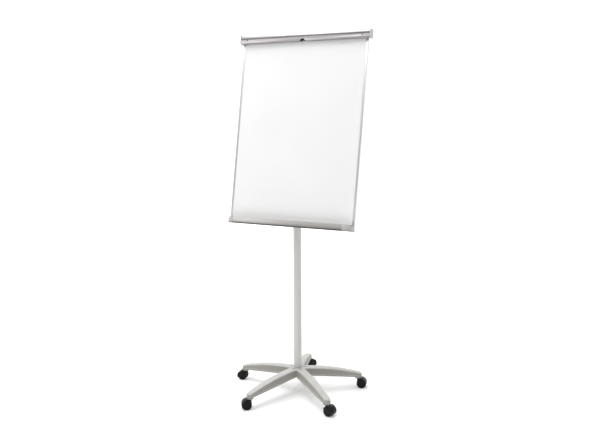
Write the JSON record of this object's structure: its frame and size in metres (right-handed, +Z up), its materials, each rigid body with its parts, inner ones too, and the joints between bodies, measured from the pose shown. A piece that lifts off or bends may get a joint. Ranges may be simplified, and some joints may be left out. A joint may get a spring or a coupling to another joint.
{
  "type": "flipchart easel",
  "caption": "Mobile flipchart easel: tilting white board with a paper clamp and pen tray on a telescopic column and a star base with castors.",
  "frame": {"origin": "on the floor under the column's axis", "axes": "+Z up, the board faces -Y and leans back towards +Y, +X to the right of someone facing the board"},
  "size_m": [0.7429, 0.7229, 1.8826],
  "materials": {
    "base_plastic": "fine moulded grain, light grey",
    "zinc_steel": "bright zinc plate",
    "castor_nylon": "semi-gloss black nylon",
    "castor_tread": "hard black nylon tread",
    "column_coat": "satin silver-grey coat on a fluted tube",
    "black_plastic": "fine texture",
    "black_steel": "black powder coat",
    "profile_aluminium": "satin anodised",
    "clamp_aluminium": "satin anodised, drawn lines along its length",
    "tray_aluminium": "satin anodised",
    "enamel_white": "smooth gloss white lacquer",
    "core_board": "fibreboard",
    "back_steel": "galvanised sheet with a grey coat",
    "rubber": "matte"
  },
  "bodies": {
    "base": {"base_star": "base_plastic", "base_bolt": "zinc_steel", "castor_stems": "zinc_steel", "column_tube": "column_coat", "column_foot_plug": "black_plastic", "column_bush": "black_plastic", "height_collar": "black_plastic", "height_shoe": "black_plastic"},
    "castor_1": {"castor_1_housing": "castor_nylon", "castor_1_axle": "zinc_steel"},
    "castor_1_wheel_left": {"castor_1_wheel_left": "castor_tread"},
    "castor_1_wheel_right": {"castor_1_wheel_right": "castor_tread"},
    "castor_2": {"castor_2_housing": "castor_nylon", "castor_2_axle": "zinc_steel"},
    "castor_2_wheel_left": {"castor_2_wheel_left": "castor_tread"},
    "castor_2_wheel_right": {"castor_2_wheel_right": "castor_tread"},
    "castor_3": {"castor_3_housing": "castor_nylon", "castor_3_axle": "zinc_steel"},
    "castor_3_wheel_left": {"castor_3_wheel_left": "castor_tread"},
    "castor_3_wheel_right": {"castor_3_wheel_right": "castor_tread"},
    "castor_4": {"castor_4_housing": "castor_nylon", "castor_4_axle": "zinc_steel"},
    "castor_4_wheel_left": {"castor_4_wheel_left": "castor_tread"},
    "castor_4_wheel_right": {"castor_4_wheel_right": "castor_tread"},
    "castor_5": {"castor_5_housing": "castor_nylon", "castor_5_axle": "zinc_steel"},
    "castor_5_wheel_left": {"castor_5_wheel_left": "castor_tread"},
    "castor_5_wheel_right": {"castor_5_wheel_right": "castor_tread"},
    "height_knob": {"height_stud": "zinc_steel", "height_knob": "black_plastic"},
    "lift": {"inner_tube": "zinc_steel", "inner_slider": "black_plastic", "tilt_head": "black_steel", "tilt_washers": "zinc_steel"},
    "board": {"board_bracket": "black_steel", "bracket_screws": "zinc_steel", "tilt_bolt": "zinc_steel", "board_spine": "profile_aluminium", "spine_screws": "zinc_steel", "writing_sheet": "enamel_white", "board_core": "core_board", "back_sheet": "back_steel", "frame_left": "profile_aluminium", "frame_right": "profile_aluminium", "pen_tray": "tray_aluminium", "tray_cap_left": "base_plastic", "tray_cap_right": "base_plastic", "tray_screws": "zinc_steel", "clamp_rail": "clamp_aluminium", "clamp_cap_left": "base_plastic", "clamp_cap_right": "base_plastic", "clamp_pins": "zinc_steel", "clamp_springs": "zinc_steel"},
    "tilt_knob": {"tilt_knob": "black_plastic"},
    "clamp": {"clamp_bar": "clamp_aluminium", "clamp_grip": "black_plastic", "clamp_rubber": "rubber", "clamp_screws": "zinc_steel"},
    "hook_left": {"paper_hook_left": "zinc_steel"},
    "hook_right": {"paper_hook_right": "zinc_steel"}
  },
  "joints": [
    {"name": "castor_1_swivel", "type": "hinge", "parent": "base", "child": "castor_1", "pos_m": [-0.33055, 0.01732, 0.0522], "axis": [0, 0, 1], "continuous": true},
    {"name": "castor_1_roll_left", "type": "hinge", "parent": "castor_1", "child": "castor_1_wheel_left", "pos_m": [-0.34841, 0.01513, 0.025], "axis": [0.1219, -0.9925, 0], "continuous": true},
    {"name": "castor_1_roll_right", "type": "hinge", "parent": "castor_1", "child": "castor_1_wheel_right", "pos_m": [-0.34841, 0.01513, 0.025], "axis": [0.1219, -0.9925, 0], "continuous": true},
    {"name": "castor_2_swivel", "type": "hinge", "parent": "base", "child": "castor_2", "pos_m": [-0.11862, -0.30901, 0.0522], "axis": [0, 0, 1], "continuous": true},
    {"name": "castor_2_roll_left", "type": "hinge", "parent": "castor_2", "child": "castor_2_wheel_left", "pos_m": [-0.13354, -0.31908, 0.025], "axis": [0.5592, -0.829, 0], "continuous": true},
    {"name": "castor_2_roll_right", "type": "hinge", "parent": "castor_2", "child": "castor_2_wheel_right", "pos_m": [-0.13354, -0.31908, 0.025], "axis": [0.5592, -0.829, 0], "continuous": true},
    {"name": "castor_3_swivel", "type": "hinge", "parent": "base", "child": "castor_3", "pos_m": [0.25723, -0.2083, 0.0522], "axis": [0, 0, 1], "continuous": true},
    {"name": "castor_3_roll_left", "type": "hinge", "parent": "castor_3", "child": "castor_3_wheel_left", "pos_m": [0.2747, -0.21266, 0.025], "axis": [0.2419, 0.9703, 0], "continuous": true},
    {"name": "castor_3_roll_right", "type": "hinge", "parent": "castor_3", "child": "castor_3_wheel_right", "pos_m": [0.2747, -0.21266, 0.025], "axis": [0.2419, 0.9703, 0], "continuous": true},
    {"name": "castor_4_swivel", "type": "hinge", "parent": "base", "child": "castor_4", "pos_m": [0.2776, 0.18028, 0.0522], "axis": [0, 0, 1], "continuous": true},
    {"name": "castor_4_roll_left", "type": "hinge", "parent": "castor_4", "child": "castor_4_wheel_left", "pos_m": [0.29514, 0.18432, 0.025], "axis": [-0.225, 0.9744, 0], "continuous": true},
    {"name": "castor_4_roll_right", "type": "hinge", "parent": "castor_4", "child": "castor_4_wheel_right", "pos_m": [0.29514, 0.18432, 0.025], "axis": [-0.225, 0.9744, 0], "continuous": true},
    {"name": "castor_5_swivel", "type": "hinge", "parent": "base", "child": "castor_5", "pos_m": [-0.08567, 0.31972, 0.0522], "axis": [0, 0, 1], "continuous": true},
    {"name": "castor_5_roll_left", "type": "hinge", "parent": "castor_5", "child": "castor_5_wheel_left", "pos_m": [-0.07806, 0.33603, 0.025], "axis": [-0.9063, 0.4226, 0], "continuous": true},
    {"name": "castor_5_roll_right", "type": "hinge", "parent": "castor_5", "child": "castor_5_wheel_right", "pos_m": [-0.07806, 0.33603, 0.025], "axis": [-0.9063, 0.4226, 0], "continuous": true},
    {"name": "height_knob_turn", "type": "hinge", "parent": "base", "child": "height_knob", "pos_m": [0, 0.033, 0.938], "axis": [0, 1, 0], "range_deg": [0, 180]},
    {"name": "height_slide", "type": "slide", "parent": "base", "child": "lift", "axis": [0, 0, 1], "range_m": [-0.05, 0.18]},
    {"name": "board_tilt", "type": "hinge", "parent": "lift", "child": "board", "pos_m": [0, 0, 1.063], "axis": [-1, 0, 0], "range_deg": [-11, 14]},
    {"name": "tilt_knob_turn", "type": "hinge", "parent": "board", "child": "tilt_knob", "pos_m": [0.03, 0, 1.063], "axis": [1, 0, 0], "range_deg": [0, 180]},
    {"name": "clamp_hinge", "type": "hinge", "parent": "board", "child": "clamp", "pos_m": [0, 0.08483, 1.87676], "axis": [-1, 0, 0], "range_deg": [0, 70], "stiffness_Nm_per_rad": 0.3, "springref_deg": -28.65},
    {"name": "hook_left_slide", "type": "slide", "parent": "board", "child": "hook_left", "axis": [-1, 0, 0], "range_m": [-0.13, 0.13]},
    {"name": "hook_right_slide", "type": "slide", "parent": "board", "child": "hook_right", "axis": [1, 0, 0], "range_m": [-0.13, 0.13]}
  ]
}
